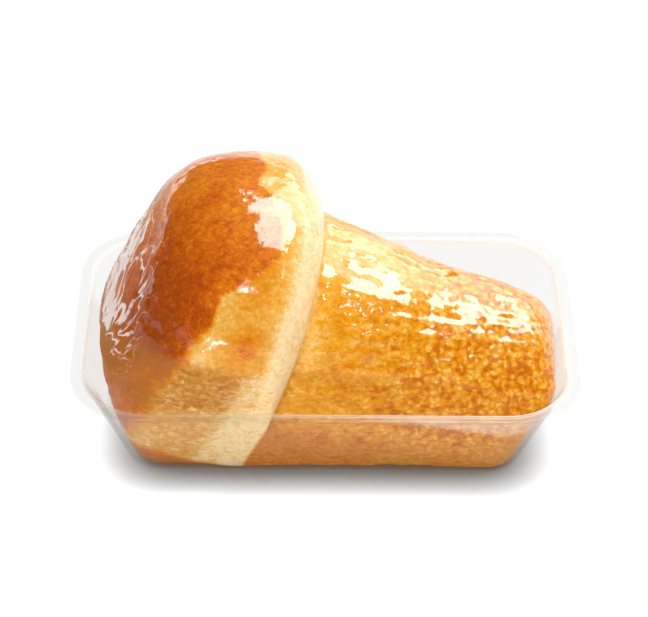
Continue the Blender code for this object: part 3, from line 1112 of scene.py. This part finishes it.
    def skin(self) -> tuple[np.ndarray, np.ndarray, np.ndarray]:
        """Carries the outline round the axis and presses the result into the tray.

        Each ring is a circle, squared off below where the cake has slumped. The rings of the cap and of the
        stem's end lean, and their middles sag off the axis. Bell-shaped lumps and the relief are added along
        each point's outward direction, and the pressing comes last.

        Returns:
            Grids, ring by ring, of the points, of their share of the way along the outline, and of their
            degrees round the axis.
        """
        line = self.outline()
        along_axis, side_axis, lift_axis = self.axes()
        even = np.linspace(0.0, 2 * np.pi, self.around, endpoint=False)[None]
        angle = np.repeat(even - self.side_density * np.sin(2 * even), self.rings, axis=0)
        turn = np.repeat(np.degrees(even), self.rings, axis=0)
        share = np.repeat(np.linspace(0.0, 1.0, self.rings)[:, None], self.around, axis=1)
        along = np.repeat(line[:, :1], self.around, axis=1)
        square = np.abs(np.cos(angle)) ** self.slump_power + np.abs(np.sin(angle)) ** self.slump_power
        slump = (square ** (-1.0 / self.slump_power) - 1.0) * (np.sin(angle) < 0.0)
        radius = line[:, 1:] * (1.0 + slump * ease((along - self.slump_from) / 0.020))
        side = radius * np.cos(angle)
        lift = radius * np.sin(angle)
        near_cap = 1.0 - ease((along - self.shoulder_reach) / 0.045)
        far = np.clip(along / (self.length - self.cap_depth), 0.0, 1.0)
        crown = np.clip(-along / self.cap_depth, 0.0, 1.0) ** 1.5
        along = along + near_cap * (self.cap_lean * lift + self.cap_twist * side)
        along = along - ease((far - 0.45) / 0.5) * self.end_lean * lift
        sag = self.stem_sag * far + self.crown_sag * crown
        middle = np.array(self.centre)
        centres = middle + along[..., None] * along_axis + sag[..., None] * lift_axis
        points = centres + side[..., None] * side_axis + lift[..., None] * lift_axis
        outward = np.cos(angle)[..., None] * side_axis + np.sin(angle)[..., None] * lift_axis
        outward = outward - crown[..., None] * 1.2 * along_axis
        outward = outward / np.linalg.norm(outward, axis=-1, keepdims=True)
        swell = np.zeros(along.shape)
        for place, reach, height in self.lumps:
            distance = ((points - np.array(place)) ** 2).sum(axis=-1)
            swell = swell + height * np.exp(-distance / (2 * reach * reach))
        points = points + swell[..., None] * outward
        poles = ease(share / 0.012) * ease((1.0 - share) / 0.012)
        points = points + (self.relief(points, share, turn) * poles)[..., None] * outward
        reach = np.clip((centres[..., 0] - middle[0]) / along_axis[0], -self.cap_inside, self.stem_inside)
        softness = self.softness + self.cap_softness * (1.0 - ease((share - 0.38) / 0.06))
        return self.press(middle + reach[..., None] * along_axis, points, softness), share, turn

    def build(self, finish: SyrupSoakedCrumb) -> bpy.types.Object:
        """Builds the cake's closed skin and marks it for its finish.

        Args:
            finish: the cake's finish.

        Returns:
            The cake's piece.
        """
        points, share, turn = self.skin()
        values, faces = close_grid(np.concatenate([points, self.marks(points, share, turn)], axis=-1))
        piece = make_piece("soaked_baba", values[:, :3], turn_outward(values, faces), finish.make())
        store_marks(piece, CAKE_MARKS, values[:, 3:])
        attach(piece, "root")
        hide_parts("baba")
        log.info("soaked baba: %d vertices", len(values))
        return piece


@dataclass(frozen=True)
class Softbox:
    """A soft rectangular light that faces the cake, its long side level."""

    side: Side
    elevation: float
    distance: float
    width: float
    height: float
    brightness: float
    mirrored: bool = True
    lighting: bool = True

    def place(self, name: str, target: Vector) -> bpy.types.Object:
        """Sets the light up.

        Args:
            name: the light's name.
            target: the point it faces.

        Returns:
            The light. Its power is brightness times area times pi.
        """
        light = bpy.data.lights.new(name, "AREA")
        light.shape = "RECTANGLE"
        light.size, light.size_y = self.width, self.height
        light.energy = self.brightness * self.width * self.height * np.pi
        stand = bpy.data.objects.new(name, light)
        azimuth, elevation = np.radians([self.side.value, self.elevation])
        away = Vector((
            np.sin(azimuth) * np.cos(elevation), -np.cos(azimuth) * np.cos(elevation), np.sin(elevation)
        ))
        sideways = Vector((1.0, 0.0, 0.0)) if self.elevation > 50.0 else Vector((0.0, 0.0, 1.0)).cross(away)
        sideways = (sideways - sideways.dot(away) * away).normalized()
        turned = Matrix((sideways, away.cross(sideways), away)).transposed().to_4x4()
        turned.translation = target + away * self.distance
        stand.matrix_world = turned
        stand.visible_glossy = self.mirrored
        stand.visible_diffuse = self.lighting
        bpy.context.scene.collection.objects.link(stand)
        return stand


@dataclass(frozen=True)
class ViewCamera:
    """The photograph's camera: a long lens looking down at the tray's long side."""

    elevation: float = 39.0
    azimuth: float = -1.0
    roll: float = 1.02
    distance: float = 0.607
    aim: tuple[float, float, float] = (-0.00033, 0.0, 0.0333)
    focal_pixels: float = 2387.0
    picture_width: int = 648
    sensor: float = 36.0

    def place(self) -> bpy.types.Object:
        """Stands the camera back from the aim point along its viewing direction, turned by the roll.

        Returns:
            The camera, which becomes the scene's own.
        """
        elevation, azimuth, roll = np.radians([self.elevation, self.azimuth, self.roll])
        back = np.array([
            np.sin(azimuth) * np.cos(elevation), -np.cos(azimuth) * np.cos(elevation), np.sin(elevation)
        ])
        right = np.array([np.cos(azimuth), np.sin(azimuth), 0.0])
        up = np.cross(back, right)
        right, up = np.cos(roll) * right + np.sin(roll) * up, np.cos(roll) * up - np.sin(roll) * right
        camera = bpy.data.cameras.new("view_camera")
        camera.sensor_width = self.sensor
        camera.lens = self.focal_pixels / self.picture_width * self.sensor
        camera.clip_start, camera.clip_end = 0.01, 20.0
        stand = bpy.data.objects.new("view_camera", camera)
        turned = Matrix(np.stack([right, up, back], axis=1).tolist()).to_4x4()
        turned.translation = Vector(self.aim) + Vector(back * self.distance)
        stand.matrix_world = turned
        bpy.context.scene.collection.objects.link(stand)
        bpy.context.scene.camera = stand
        return stand


@dataclass
class Studio:
    """White paper floor, soft lights and a pale room."""

    floor_half: float = 2.5
    floor_gap: float = 0.0003
    target: tuple[float, float, float] = (0.0, 0.0, 0.035)
    room_light: float = 1.1
    key: Softbox = Softbox(Side.BEHIND, 69.5, 0.9, 0.58, 0.70, 14.0, lighting=False)
    key_low: Softbox = Softbox(Side.FAR_RIGHT, 52.5, 0.9, 0.34, 0.36, 17.0, lighting=False)
    key_glow: Softbox = Softbox(Side.BACK_RIGHT, 63.0, 0.9, 0.84, 0.68, 3.8, mirrored=False)
    scrim: Softbox = Softbox(Side.BACK, 27.0, 1.1, 0.95, 0.80, 4.2)
    rim: Softbox = Softbox(Side.BACK_LEFT, 4.5, 0.9, 1.3, 0.11, 1.8)
    spark_high: Softbox = Softbox(Side.FRONT_LEFT, 51.0, 0.9, 0.072, 0.042, 48.0)
    spark_low: Softbox = Softbox(Side.NEAR_LEFT, 3.0, 0.9, 0.072, 0.042, 60.0)
    spark_right: Softbox = Softbox(Side.RIGHT, 44.0, 0.9, 0.072, 0.042, 32.0)
    fill: Softbox = Softbox(Side.FRONT, 32.0, 1.4, 1.6, 1.1, 2.7, mirrored=False)

    def build(self) -> None:
        """Builds the floor, places the lights and sets the room's even light."""
        half = self.floor_half
        corners = np.array([[-half, -half, 0.0], [half, -half, 0.0], [half, half, 0.0], [-half, half, 0.0]])
        corners[:, 2] = -self.floor_gap
        floor = make_piece("paper_floor", corners, np.array([[0, 1, 2, 3]]), LitPaperSweep().make())
        lights = {name: part for name, part in vars(self).items() if isinstance(part, Softbox)}
        for name, light in lights.items():
            light.place(name, Vector(self.target))
        world = bpy.data.worlds.new("pale_room")
        world.use_nodes = True
        tree = world.node_tree
        tree.nodes.clear()
        direction = add_node(tree, "TexCoord", output="Generated")
        height = add_node(tree, "SeparateXYZ", output="Z", Vector=direction)
        bands = {0.0: "#FFFFFF", 0.03: "#FFFFFF", 0.08: "#2A2A2A", 1.0: "#1C1C1C"}
        room = add_node(tree, "ValToRGB", {"stops": bands}, (height,))
        light = add_node(tree, "Background", Color=room, Strength=self.room_light)
        add_node(tree, "OutputWorld", Surface=light)
        bpy.context.scene.world = world
        log.info("studio: floor, %d lights and the room", len(lights))


def set_development() -> None:
    """Shows the picture with plain sRGB development, so that white paper stays white."""
    scene = bpy.context.scene
    scene.view_settings.view_transform = "Standard"
    scene.view_settings.look = "None"
    scene.view_settings.exposure = 0.0
    scene.view_settings.gamma = 1.0
    scene.cycles.use_denoising = True


def main() -> None:
    """Builds the camera, the tray, the cake and the studio, in that order."""
    logging.basicConfig(level=logging.INFO, format="%(name)s %(message)s")
    ViewCamera().place()
    tray = Tray()
    tray.build(ClearFormedSheet())
    Baba(tray).build(SyrupSoakedCrumb())
    Studio().build()
    set_development()


if __name__ == "__main__":
    main()
